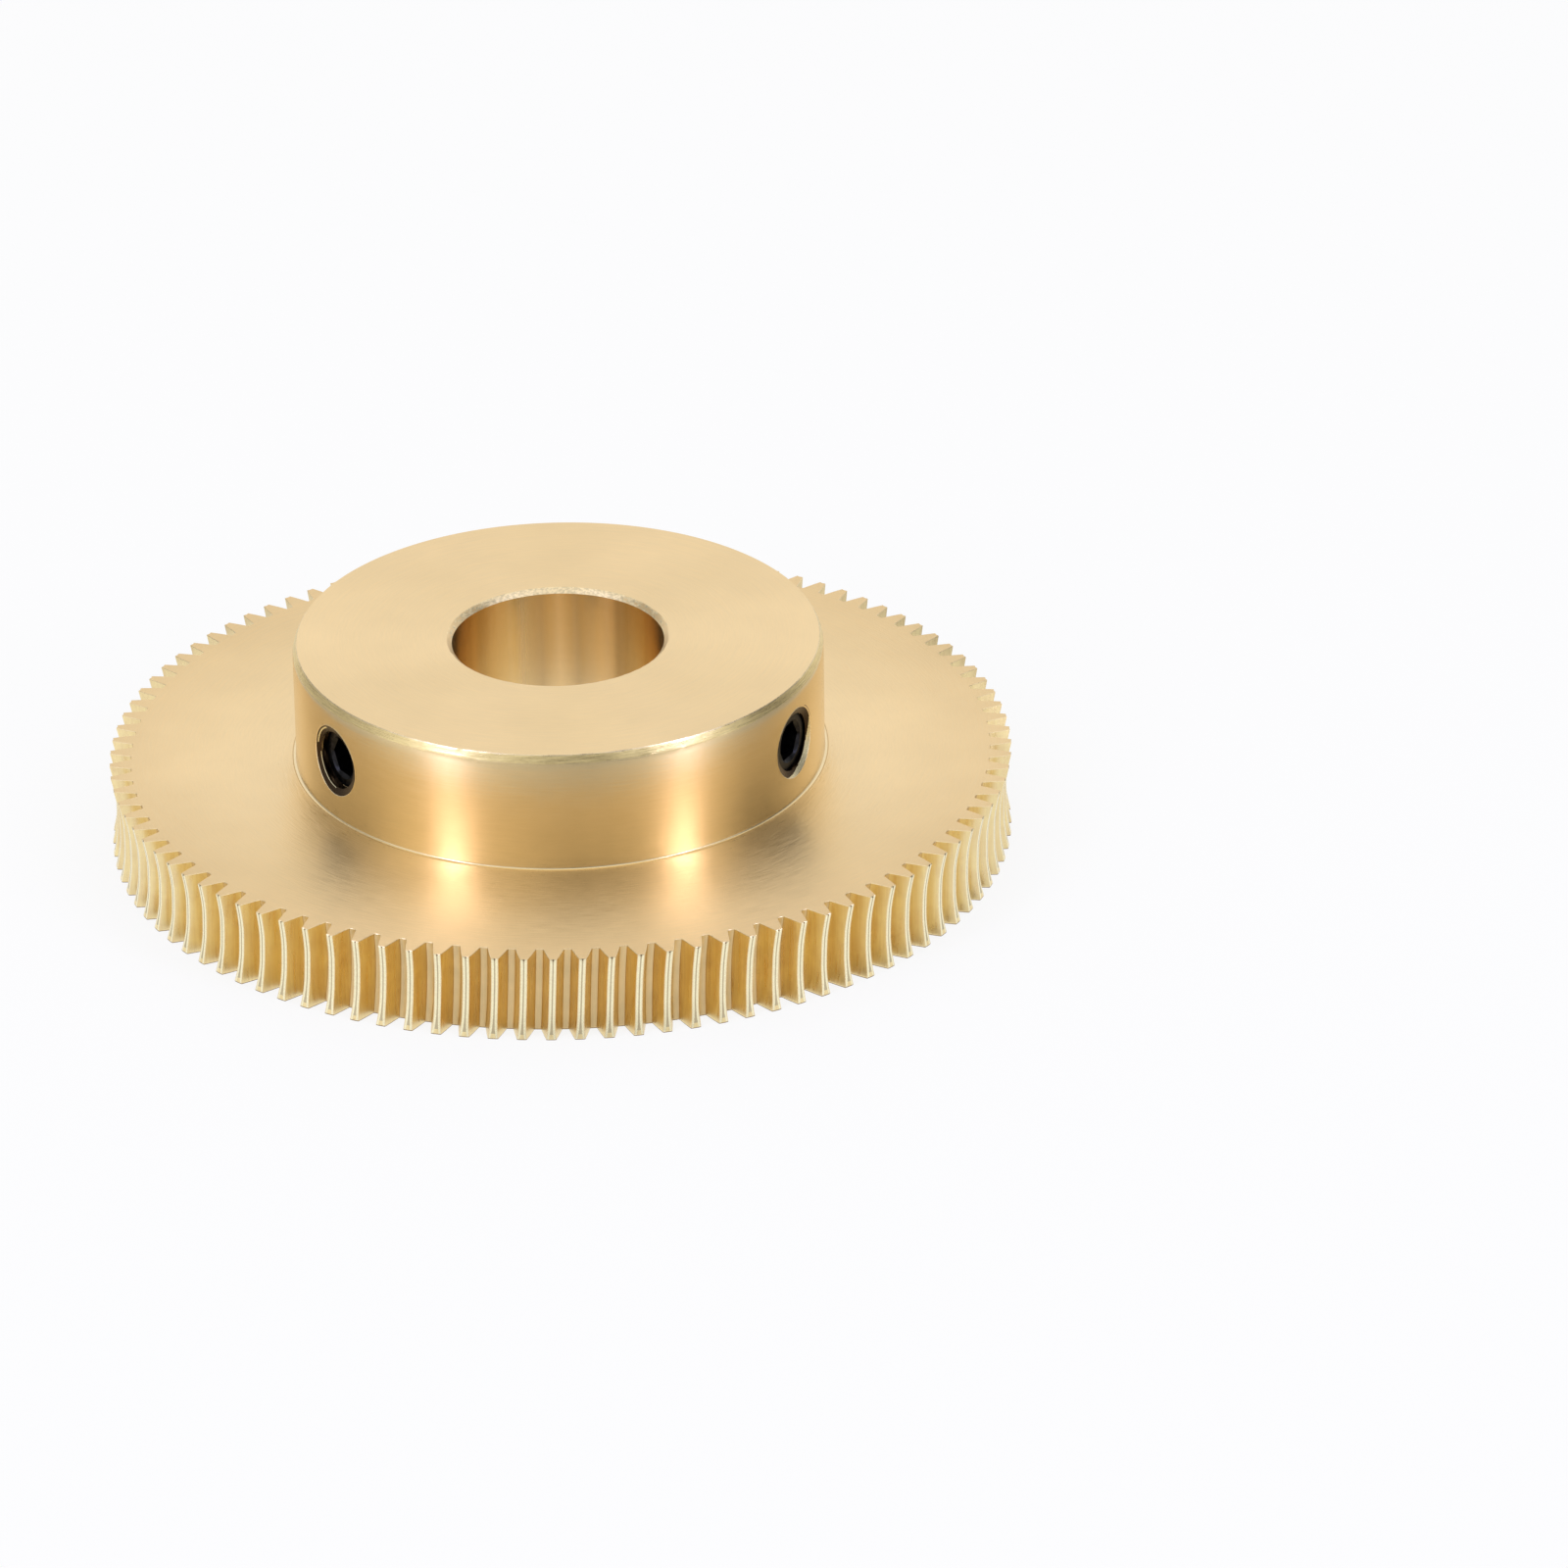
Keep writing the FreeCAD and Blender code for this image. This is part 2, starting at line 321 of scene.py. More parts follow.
# Brightness of the wall at some bearings, as a share of its setting.
WALL_TONES = (
    (-138, 1.1), (-120, 1.0), (-96, 0.95), (-84, 1.5), (-72, 2.1), (-60, 2.5), (-42, 2.3),
    (-33, 1.8), (-27, 1.8), (-20, 1.7), (-15, 1.5), (-8, 1.2), (-3, 0.97), (6, 0.84),
    (18, 0.86), (27, 1.08), (36, 1.4), (48, 2.2), (60, 2.3), (66, 2.0), (75, 1.9), (84, 0.7),
    (96, 0.44), (108, 0.4), (120, 1.3), (138, 1.8),
)
LAMP_DISTANCE = 0.5
LAMP_COLOUR = (0.96, 0.98, 1.6)
# Lamps: name, bearing, elevation, width, height.
LAMPS = (
    ("left_lamp", -48, 34, 0.08, 0.22),
    ("right_lamp", 56, 34, 0.076, 0.22),
)


def new_object(name, mesh, materials):
    """Puts a finished mesh into the scene as an object."""
    data = bpy.data.meshes.new(name)
    mesh.to_mesh(data)
    mesh.free()
    for material in materials:
        data.materials.append(material)
    item = bpy.data.objects.new(name, data)
    bpy.context.scene.collection.objects.link(item)
    return item


class Skin:
    """A mesh that is built ring by ring. Each face takes the finish of its surface."""

    def __init__(self, finishes):
        self.mesh = bmesh.new()
        self.finishes = finishes
        self.order = {finish: index for index, finish in enumerate(finishes)}

    def ring(self, points):
        """New points in a closed row."""
        return [self.mesh.verts.new(point) for point in points]

    def face(self, corners, finish):
        """One new face."""
        self.mesh.faces.new(corners).material_index = self.order[finish]

    def band(self, first, second, finish):
        """Joins two closed rows with as many points. Finish is one name, or one for each step."""
        count = len(first)
        names = [finish] * count if isinstance(finish, str) else finish
        for step in range(count):
            after = (step + 1) % count
            corners = (first[step], first[after], second[after], second[step])
            self.face(corners, names[step])

    def stitch(self, first, second, finish):
        """Joins two rows that go once round the bore and have different numbers of points."""
        first, second = (sorted(row, key=turn_of) for row in (first, second))
        turns = [[turn_of(point) for point in row] for row in (first, second)]
        for row in turns:
            row.append(row[0] + FULL_TURN)
        a = b = 0
        while a < len(first) or b < len(second):
            corners = [first[a % len(first)], second[b % len(second)]]
            if b == len(second) or (a < len(first) and turns[0][a + 1] <= turns[1][b + 1]):
                a += 1
                corners.insert(1, first[a % len(first)])
            else:
                b += 1
                corners.insert(1, second[b % len(second)])
            self.face(corners, finish)

    def cap(self, row, centre, finish):
        """Closes a row with a fan round a centre point."""
        middle = self.mesh.verts.new(centre)
        for step, point in enumerate(row):
            self.face((point, row[(step + 1) % len(row)], middle), finish)

    def make_object(self, name, materials):
        """The finished piece, with smooth faces and sharp edges."""
        loose = [point for point in self.mesh.verts if not point.link_faces]
        bmesh.ops.delete(self.mesh, geom=loose, context="VERTS")
        bmesh.ops.recalc_face_normals(self.mesh, faces=self.mesh.faces)
        piece = new_object(name, self.mesh, [materials[finish] for finish in self.finishes])
        piece.data.shade_smooth()
        piece.data.set_sharp_from_angle(angle=math.radians(SHARP_ANGLE))
        return piece


def turn_of(point):
    """How far round the bore a mesh point is."""
    return math.atan2(point.co.x, -point.co.y) % FULL_TURN


def polar(turn, radius, height):
    """A point from its turn, radius and height."""
    return Vector((radius * math.sin(turn), -radius * math.cos(turn), height))


def circle(radius, height, steps=ROUND_STEPS):
    """The points of a level circle round the bore."""
    return [polar(step * FULL_TURN / steps, radius, height) for step in range(steps)]


def rough_circle(radius, height, steps, across, up, dice):
    """A circle that strays in small waves, as on an edge that was broken with a file."""
    start = dice.uniform(0, WAVE_SPAN)
    points = []
    for step in range(steps):
        turn = step * FULL_TURN / steps
        place = polar(turn, WAVES, start)
        points.append(polar(turn, radius + across * noise.noise(place),
                            height + up * noise.noise(2 * place)))
    return points


def hollow_share(level):
    """How much of the corners' rise a level of the rim has: none at its middle, all at a face."""
    reach = abs(2 * level - 1)
    flare = max(0, (reach - MIDDLE_SHARE) / (1 - MIDDLE_SHARE))
    return (1 - FLARE_SHARE) * reach ** 2 + FLARE_SHARE * flare ** FLARE_POWER


def half_tooth(sizes, level, inset):
    """Turn and radius of the points from the middle of a gap to the line on the tooth's tip.

    The turns are counted from the middle of the gap.
    """
    rise = (sizes.corner_radius - sizes.tip_radius) * hollow_share(level)
    tip = sizes.tip_radius + rise - inset
    root = sizes.root_radius + ROOT_RISE * rise - inset
    slope = math.tan(sizes.flank_angle)
    half_flat = sizes.root_flat / 2 + inset

    def flank(radius, bulge=0.0):
        across = half_flat + (radius - root) * slope - bulge
        return math.atan2(across, radius), math.hypot(across, radius)

    depth = tip - root
    fillet = FILLET_MIDDLE * ROOT_FILLET
    turn_at_edge, radius_at_edge = flank(tip - EDGE)
    half_pitch = FULL_TURN / sizes.teeth / 2
    return [
        (0, root),
        (math.atan2(half_flat - ROOT_FILLET, root), root),
        (math.atan2(half_flat - fillet, root), root + fillet),
        flank(root + ROOT_FILLET),
        *(flank(root + share * depth, crown * FLANK_CROWN) for share, crown in FLANK_ROWS),
        (turn_at_edge, radius_at_edge),
        (turn_at_edge + LAND_EDGE / tip, tip - TIP_CROWN),
        (half_pitch - LINE_HALF / tip, tip),
    ]


# Across half a tooth the bright lines are painted highlight; the middle line is painted shade.
HALF_FINISHES = ["root"] * 3 + ["flank"] * (len(FLANK_ROWS) + 1) + ["edge", "bright"]
TOOTH_FINISHES = HALF_FINISHES + ["line"] + HALF_FINISHES[::-1]


def rim_row(sizes, level, inset, habits):
    """The points round the whole toothed rim at one level. The tips are nicked at the top."""
    height = level * sizes.face_width
    nick = NICK if level > RIM_LEVELS[-1] else 0
    lean = (height - sizes.face_width / 2) * math.tan(sizes.lead_angle) / sizes.tip_radius
    half = half_tooth(sizes, level, inset)
    half[-1] = (half[-1][0], half[-1][1] - nick)
    pitch_turn = FULL_TURN / sizes.teeth
    low = max(0, 1 - level / KINK_LEVEL)
    points = []
    for tooth in range(sizes.teeth):
        middle = tooth * pitch_turn + lean
        kink, most_spread = habits[tooth]
        shift = low * kink / sizes.tip_radius
        spread = low ** SPREAD_POWER * most_spread / sizes.tip_radius
        for index, (turn, radius) in enumerate(half):
            share = index / len(half)
            turned = middle - pitch_turn / 2 + turn + share * (shift - spread)
            points.append(polar(turned, radius, height))
        for index, (turn, radius) in reversed(list(enumerate(half))[1:]):
            share = index / len(half)
            turned = middle + pitch_turn / 2 - turn + share * (shift + spread)
            points.append(polar(turned, radius, height))
    return points


def add_teeth(skin, sizes):
    """The toothed side of the rim. Returns its lowest and highest rows."""
    dice = random.Random(TEETH_SEED)
    habits = [
        (dice.choice(KINK_WAYS) * dice.uniform(KINK_LEAST, 1) * KINK_MOST,
         dice.uniform(SPREAD_LEAST, 1) * SPREAD_MOST)
        for _ in range(sizes.teeth)
    ]
    edge_level = EDGE / sizes.face_width
    levels = [(0, EDGE), (FOOT_EDGE / sizes.face_width, 0)]
    levels += [(level, 0) for level in RIM_LEVELS]
    levels += [(1 - edge_level, 0), (1, EDGE)]
    rows = [skin.ring(rim_row(sizes, level, inset, habits)) for level, inset in levels]
    finishes = TOOTH_FINISHES * sizes.teeth
    nicked = ["dark" if finish == "line" else finish for finish in finishes]
    footed = ["flank" if finish == "line" else finish for finish in finishes]
    bands = ["dark"] + [footed] * FOOT_ROWS + [finishes] * (len(RIM_LEVELS) - FOOT_ROWS)
    bands += [nicked, "edge"]
    for lower, upper, finish in zip(rows, rows[1:], bands):
        skin.band(lower, upper, finish)
    return rows[0], rows[-1]


def hole_point(turn, along, across, up):
    """A point in a screw hole: along its axis from the bore's, sideways, and up from the axis."""
    outward = Vector((math.sin(turn), -math.cos(turn), 0))
    sideways = Vector((math.cos(turn), math.sin(turn), 0))
    return outward * along + sideways * across + Vector((0, 0, SCREW_MIDDLE.z + up))


def add_pierced_wall(skin, radius, steps, low, high, finish):
    """A round wall with a square opening at each screw hole.

    Returns its lowest and highest rows, and the opening's edge at the turn of each hole.
    """
    patch_low, patch_high = SCREW_MIDDLE.z - PATCH_HALF, SCREW_MIDDLE.z + PATCH_HALF
    heights = [low]
    heights += [patch_low + (patch_high - patch_low) * row / PATCH_ROWS
                for row in range(PATCH_ROWS + 1)]
    heights.append(high)
    rows = [skin.ring(circle(radius, height, steps)) for height in heights]
    half = PATCH_ROWS // 2
    openings = {}
    open_cells = set()
    for side in (-1, 1):
        centre = round(side * SCREW_TURN / FULL_TURN * steps)
        left, right = centre - half, centre + half
        edge = [rows[1][step % steps] for step in range(left, right)]
        edge += [rows[1 + row][right % steps] for row in range(PATCH_ROWS)]
        edge += [rows[1 + PATCH_ROWS][step % steps] for step in range(right, left, -1)]
        edge += [rows[1 + row][left % steps] for row in range(PATCH_ROWS, 0, -1)]
        openings[side * SCREW_TURN] = edge
        open_cells |= {(row, step % steps) for row in range(1, 1 + PATCH_ROWS)
                       for step in range(left, right)}
    for row in range(len(rows) - 1):
        for step in range(steps):
            if (row, step) in open_cells:
                continue
            after = (step + 1) % steps
            skin.face((rows[row][step], rows[row][after], rows[row + 1][after],
                       rows[row + 1][step]), finish)
    return rows[0], rows[-1], openings


def angles_of(edge, turn):
    """The direction of each point of an opening's edge, seen along the hole's axis."""
    sideways = Vector((math.cos(turn), math.sin(turn), 0))
    return [math.atan2(point.co.z - SCREW_MIDDLE.z, point.co.dot(sideways)) for point in edge]


def on_wall(turn, wall_radius, across, up, proud=0.0):
    """The point of a round wall that is this far beside and above a hole's axis."""
    along = math.sqrt(wall_radius ** 2 - across ** 2) + proud
    return hole_point(turn, along, across, up)


def in_spans(angle, spans):
    """Whether an angle lies in one of some spans of degrees."""
    return any(low <= math.degrees(angle) <= high for low, high in spans)


def add_mouth(skin, edge, turn, wall_radius, mouth, finish, burr, dice, scratches=()):
    """Fills the wall from a square opening's edge to the round mouth of the hole.

    Returns the mouth's lip and the directions of its points.
    """
    sideways = Vector((math.cos(turn), math.sin(turn), 0))
    angles = angles_of(edge, turn)
    square = [(point.co.dot(sideways), point.co.z - SCREW_MIDDLE.z) for point in edge]
    last = edge
    for share in MOUTH_ROWS:
        row = []
        for (across, up), angle in zip(square, angles):
            to = (mouth * math.cos(angle), mouth * math.sin(angle))
            row.append(on_wall(turn, wall_radius, across + (to[0] - across) * share,
                               up + (to[1] - up) * share))
        row = skin.ring(row)
        skin.band(last, row, finish)
        last = row
    for away in (SCRATCH_AWAY + SCRATCH_WIDTH, SCRATCH_AWAY):
        radius = mouth + away
        row = skin.ring(on_wall(turn, wall_radius, radius * math.cos(angle),
                                radius * math.sin(angle)) for angle in angles)
        scratched = [in_spans(angle, scratches) and away == SCRATCH_AWAY for angle in angles]
        skin.band(last, row, ["dark" if here else finish for here in scratched])
        last = row
    stray = [dice.uniform(-1, 1) for _ in angles]
    lip = []
    for angle, more in zip(angles, stray):
        radius = mouth + BURR_SIDEWAYS * burr * more
        lip.append(on_wall(turn, wall_radius, radius * math.cos(angle),
                           radius * math.sin(angle),
                           burr * (BURR_EVEN + BURR_UNEVEN * more)))
    lip = skin.ring(lip)
    skin.band(last, lip, finish)
    return lip, angles


def thread_wave(sizes, along, angle):
    """One on the crest of the screws' thread and zero in its groove, with short flats."""
    turn = (along / sizes.thread_pitch - angle / FULL_TURN) % 1
    ramp = abs(2 * turn - 1)
    return min(1, max(0, (ramp - THREAD_FLAT) / (1 - 2 * THREAD_FLAT)))


def crescent_painted_highlight(angle, share):
    """Whether the right hole's chamfer has its painted highlight here: widest mid-crescent."""
    low, high = CRESCENT_PAINTED_HIGHLIGHT
    away = (2 * math.degrees(angle) - low - high) / (high - low)
    return 0 < share <= 1 - away ** 2


def arcs_painted_highlight(angle, share):
    """Whether the left hole's chamfer has painted highlight here."""
    return any(low <= math.degrees(angle) <= high and first <= share <= last
               for low, high, first, last in ARCS_PAINTED_HIGHLIGHT)


def add_screw_hole(skin, sizes, turn, outer_edge, inner_edge, dice):
    """A tapped hole from the hub's wall to the bore."""
    widest = sizes.thread_radius + HOLE_GAP
    right = turn > 0
    outer, angles = add_mouth(skin, outer_edge, turn, sizes.hub_radius, widest + MOUTH_EDGE,
                              "hub", MOUTH_BURR, dice, SCRATCHES if right else ())
    inner, _ = add_mouth(skin, inner_edge, turn, sizes.bore_radius, widest + MOUTH_EDGE,
                         "bore", 0, dice)
    last = outer
    for step in range(SINK_STEPS + 1):
        share = step / SINK_STEPS
        radius = widest - share * SINK_WIDTH
        points = skin.ring(
            on_wall(turn, sizes.hub_radius, radius * math.cos(angle), radius * math.sin(angle),
                    -MOUTH_BURR - share * SINK_DEPTH)
            for angle in angles
        )
        # Below its edge the mouth's chamfer is painted dark, as shade in the hole.
        finish = "edge" if step == 0 else "thread"
        # Painted highlight on the mouth's chamfer: a crescent on the right hole, thin arcs on the
        # left.
        shines = crescent_painted_highlight if right else arcs_painted_highlight
        skin.band(last, points, ["bright" if shines(angle, share) else finish
                                 for angle in angles])
        last = points
    start = math.sqrt(sizes.hub_radius ** 2 - widest ** 2) - SINK_DEPTH - MOUTH_EDGE
    end = sizes.bore_radius + MOUTH_EDGE
    rows = round((start - end) / sizes.thread_pitch * THREAD_ROWS)
    for row in range(rows + 1):
        along = start + (end - start) * row / rows
        waves = [thread_wave(sizes, along, angle) for angle in angles]
        points = []
        for angle, wave in zip(angles, waves):
            radius = widest - THREAD_DEPTH * (1 - wave)
            points.append(hole_point(turn, along, radius * math.cos(angle),
                                     radius * math.sin(angle)))
        points = skin.ring(points)
        skin.band(last, points, ["root" if wave < CREST_SHARE else "thread" for wave in waves])
        last = points
    skin.band(last, inner, "thread")


def add_hub(skin, sizes, flange_row, dice):
    """Hub from its foot on the rim to its upper face. Returns that face's row and the openings."""
    rim_top = sizes.face_width
    top = sizes.total_height
    foot = sizes.hub_radius + FOOT_FILLET
    rows = [(foot + away, rim_top - depth, finish) for away, depth, finish in FOOT_RINGS]
    for step in range(1, FILLET_STEPS):
        angle = math.radians(90 * step / FILLET_STEPS)
        rows.append((foot - FOOT_FILLET * math.sin(angle),
                     rim_top + FOOT_FILLET * (1 - math.cos(angle)), "hub"))
    last = flange_row
    for radius, height, finish in rows:
        row = skin.ring(circle(radius, height))
        skin.band(last, row, finish)
        last = row
    chamfer_foot = top - HUB_CHAMFER_DROP
    low, high, openings = add_pierced_wall(
        skin, sizes.hub_radius, ROUND_STEPS, rim_top + FOOT_FILLET, chamfer_foot - HUB_CHAMFER_GAP,
        "hub",
    )
    skin.band(last, low, "hub")
    last = high
    for share, finish in HUB_CHAMFER_ROWS:
        row = skin.ring(rough_circle(
            sizes.hub_radius - share * HUB_CHAMFER_RUN, chamfer_foot + share * HUB_CHAMFER_DROP,
            ROUND_STEPS, HUB_STRAY_ACROSS, HUB_STRAY, dice))
        skin.band(last, row, finish)
        last = row
    brow = skin.ring(circle(sizes.hub_radius - HUB_CHAMFER_RUN - FINE_EDGE, top))
    skin.band(last, brow, "edge")
    flat = skin.ring(circle(sizes.hub_radius - HUB_CHAMFER_RUN - EDGE_RING, top))
    skin.band(brow, flat, "face")
    return flat, openings


def torn_finishes(dice):
    """Finishes round the bore's chamfer: torn at its back, in spots towards its sides."""
    finishes = []
    for step in range(BORE_STEPS):
        away = abs(step * 360 / BORE_STEPS - 180) / TORN_HALF
        finishes.append("torn" if away + dice.random() < TORN_REACH else "face")
    return finishes


def add_bore(skin, sizes, hub_flat, dice):
    """Upper face, bore and its chamfers. Returns the lower face's row and the openings."""
    top = sizes.total_height
    wide = sizes.bore_radius + BORE_CHAMFER
    flat = skin.ring(circle(wide + EDGE_RING, top, BORE_STEPS))
    skin.stitch(hub_flat, flat, "face")
    upper = skin.ring(circle(wide + FINE_EDGE, top, BORE_STEPS))
    skin.band(flat, upper, "face")
    last = upper
    for share in BORE_CHAMFER_ROWS:
        row = skin.ring(rough_circle(wide - share * BORE_CHAMFER, top - share * BORE_CHAMFER,
                                     BORE_STEPS, BORE_STRAY, BORE_STRAY, dice))
        skin.band(last, row, torn_finishes(dice))
        last = row
    low, high, openings = add_pierced_wall(
        skin, sizes.bore_radius, BORE_STEPS, BORE_CHAMFER, top - BORE_CHAMFER, "bore"
    )
    skin.band(last, high, torn_finishes(dice))
    lower = skin.ring(circle(wide, 0, BORE_STEPS))
    skin.band(low, lower, "chamfer")
    return lower, openings


# Finishes of the wheel's faces, in the order of its materials.
WHEEL_FINISHES = ["face", "flange", "hub", "chamfer", "torn", "bore", "thread", "root", "flank",
                  "bright", "line", "edge", "dark"]


def add_rim_face(skin, sizes, outline, height, finish):
    """The flat ring inside the teeth's outline. Returns its inner row, a plain circle."""
    inside = sizes.root_radius - RIM_RING
    row = skin.ring(polar(turn_of(point), inside, height) for point in outline)
    skin.band(outline, row, finish)
    flange = skin.ring(circle(inside - RIM_RING, height))
    skin.stitch(row, flange, finish)
    return flange


def make_wheel(sizes, materials):
    """The whole wheel as one closed mesh."""
    skin = Skin(WHEEL_FINISHES)
    dice = random.Random(WHEEL_SEED)
    lowest, highest = add_teeth(skin, sizes)
    flange = add_rim_face(skin, sizes, highest, sizes.face_width, "flange")
    hub_flat, hub_openings = add_hub(skin, sizes, flange, dice)
    lower, bore_openings = add_bore(skin, sizes, hub_flat, dice)
    for turn, outer_edge in hub_openings.items():
        add_screw_hole(skin, sizes, turn, outer_edge, bore_openings[turn], dice)
    under = add_rim_face(skin, sizes, lowest, 0, "face")
    skin.stitch(under, lower, "face")
    return skin.make_object("brass_wheel", materials)


def make_set_screw(sizes, name, side, materials):
    """A cup point set screw with a real thread and a hexagon socket."""
    skin = Skin(["black", "worn"])
    turn = side * SCREW_TURN
    head = sizes.hub_radius - SCREW_SUNK[side]
    point = sizes.bore_radius + POINT_SUNK
    angles = [step * FULL_TURN / SCREW_STEPS for step in range(SCREW_STEPS)]

    def ring(along, radius_of):
        return skin.ring(
            hole_point(turn, along, radius_of(angle) * math.cos(angle),
                       radius_of(angle) * math.sin(angle))
            for angle in angles
        )

    def hexagon(angle):
        return sizes.socket_width / 2 / math.cos((angle + math.pi / 6 - math.pi / 2)
                                                 % (math.pi / 3) - math.pi / 6)

    deepest = head - SOCKET_DEPTH
    rows = [
        (ring(point, lambda angle: CUP_RADIUS), "black"),
        (ring(point, lambda angle: POINT_RADIUS), "worn"),
    ]
    count = round((head - point) / sizes.thread_pitch * THREAD_ROWS)
    for row in range(1, count):
        along = point + (head - point) * row / count
        cone = min(POINT_RADIUS + (along - point), sizes.thread_radius,
                   sizes.thread_radius - SCREW_EDGE + (head - along))

        def threaded(angle, along=along, cone=cone):
            groove = GROOVE_DEPTH * (1 - thread_wave(sizes, along, angle))
            return min(cone, sizes.thread_radius - groove)

        rows.append((ring(along, threaded), "black"))
    edge_radius = sizes.thread_radius - SCREW_EDGE
    mouth = sizes.socket_width / 2 / math.cos(math.pi / 6) + SOCKET_MOUTH
    rows += [
        (ring(head - WORN_EDGE, lambda angle: edge_radius), "black"),
        # Worn edge round the head: lighter as worn steel, and partly a painted highlight.
        (ring(head, lambda angle: edge_radius - WORN_EDGE), "worn"),
        (ring(head, lambda angle: mouth + WORN_EDGE), "black"),
        (ring(head - WORN_EDGE, lambda angle: mouth), "black"),
        (ring(head - SOCKET_CHAMFER, hexagon), "black"),
        (ring(deepest, hexagon), "black"),
        (ring(deepest, lambda angle: DRILL_SHARE * sizes.socket_width / 2), "black"),
    ]
    for (lower, _), (upper, finish) in zip(rows, rows[1:]):
        skin.band(lower, upper, finish)
    skin.cap(rows[0][0], hole_point(turn, point + CUP_DEPTH, 0, 0), "black")
    skin.cap(rows[-1][0], hole_point(turn, deepest - DRILL_TIP, 0, 0), "black")
    return skin.make_object(name, materials)


class Nodes:
    """The shader nodes of a material or world, added and wired one after the other."""

    def __init__(self, owner):
        owner.use_nodes = True
        self.owner = owner
        self.tree = owner.node_tree
        self.shader = self.tree.nodes.get("Principled BSDF")

    def add(self, kind, inputs=None, **settings):
        """A new node with its settings and inputs."""
        node = self.tree.nodes.new("ShaderNode" + kind)
        for name, value in settings.items():
            setattr(node, name, value)
        self.fill(node, inputs or {})
        return node

    def fill(self, node, inputs):
        """Sets a node's inputs, or wires them where the value is another node's output."""
        for name, value in inputs.items():
            if isinstance(value, bpy.types.NodeSocket):
                self.tree.links.new(value, node.inputs[name])
            else:
                node.inputs[name].default_value = value

    def maths(self, operation, first, second=0.0):
        """The result of one sum."""
        return self.add("Math", {0: first, 1: second}, operation=operation).outputs[0]

    def mix(self, first, second, share):
        """Two noise values added up, with this share of the first."""
        return self.maths("ADD", self.maths("MULTIPLY", first, share),
                          self.maths("MULTIPLY", second, 1 - share))

    def spread(self, value, low, more):
        """A noise value stretched to run from a number to this much more."""
        return self.add(
            "MapRange", {"Value": value, "From Min": NOISE_LOW, "From Max": NOISE_HIGH,
                         "To Min": low, "To Max": low + more},
        ).outputs["Result"]

    def shade(self, value, base, dark, light, first=NOISE_LOW, last=NOISE_HIGH):
        """A base colour that runs from darker to lighter with a noise value."""
        ramp = self.add("ValToRGB", {"Fac": value})
        for element, place, tone in zip(ramp.color_ramp.elements, (first, last), (dark, light)):
            element.position = place
            element.color = (*toned(base, tone), 1)
        return ramp.outputs["Color"]

    def tones(self, around, base, tones):
        """A base colour whose tone follows a list of bearings, in degrees, and shares."""
        ramp = self.add("ValToRGB", {"Fac": around})
        elements = ramp.color_ramp.elements
        elements.remove(elements[1])
        for index, (bearing, tone) in enumerate(tones):
            place = bearing / 360 + 0.5
            element = elements[0] if index == 0 else elements.new(place)
            element.position = place
            element.color = (*toned(base, tone), 1)
        return ramp.outputs["Color"]

    def times(self, first, second):
        """One colour multiplied with another."""
        product = self.add("VectorMath", {0: first, 1: second}, operation="MULTIPLY")
        return product.outputs["Vector"]


def toned(base, tone):
    """A colour made darker or lighter."""
    return [min(1, part * tone) for part in base]


def flat_place(nodes):
    """Where a point is beside the bore's axis, its distance from it, and its height."""
    place = nodes.add("TexCoord").outputs["Object"]
    parts = nodes.add("SeparateXYZ", {"Vector": place}).outputs
    flat = nodes.add("CombineXYZ", {"X": parts["X"], "Y": parts["Y"]}).outputs["Vector"]
    radius = nodes.add("VectorMath", {0: flat}, operation="LENGTH").outputs["Value"]
    return flat, radius, parts["Z"]


def turning_noise(nodes, across, around, detail=3.0):
    """Noise in rings round the bore: fine along radius and height, long round the turn."""
    flat, radius, height = flat_place(nodes)
    bearing = nodes.add("VectorMath", {0: flat}, operation="NORMALIZE").outputs["Vector"]
    bearing = nodes.add("VectorMath", {0: bearing, "Scale": around}, operation="SCALE")
    sides = nodes.add("SeparateXYZ", {"Vector": bearing.outputs["Vector"]}).outputs
    fine = nodes.maths("MULTIPLY", radius, across)
    ringed = nodes.add("CombineXYZ", {"X": sides["X"], "Y": sides["Y"], "Z": fine})
    marks = nodes.add(
        "TexNoise",
        {"Vector": ringed.outputs["Vector"], "W": nodes.maths("MULTIPLY", height, across),
         "Scale": 1.0, "Detail": detail, "Roughness": NOISE_ROUGHNESS},
        noise_dimensions="4D",
    )
    return marks.outputs["Fac"]


def plain_noise(nodes, scale, stretch=(1, 1, 1), detail=2.0):
    """Noise in space, stretched along the three axes."""
    place = nodes.add("TexCoord").outputs["Object"]
    place = nodes.add("VectorMath", {0: place, 1: stretch}, operation="MULTIPLY")
    spots = nodes.add("TexNoise", {"Vector": place.outputs["Vector"], "Scale": scale,
                                   "Detail": detail})
    return spots.outputs["Fac"]


def pits(nodes, cells, share, size):
    """One in the middle of a few small pits and zero elsewhere."""
    place = nodes.add("TexCoord").outputs["Object"]
    cell = nodes.add("TexVoronoi", {"Vector": place, "Scale": cells}).outputs
    chosen = nodes.add("SeparateColor", {"Color": cell["Color"]}).outputs["Red"]
    few = nodes.maths("LESS_THAN", chosen, share)
    near = nodes.maths("LESS_THAN", cell["Distance"], size)
    return nodes.maths("MULTIPLY", few, near)


def bump(nodes, height, strength, distance):
    """Lets a noise value raise the surface."""
    node = nodes.add("Bump", {"Height": height, "Strength": strength, "Distance": distance})
    nodes.fill(nodes.shader, {"Normal": node.outputs["Normal"]})


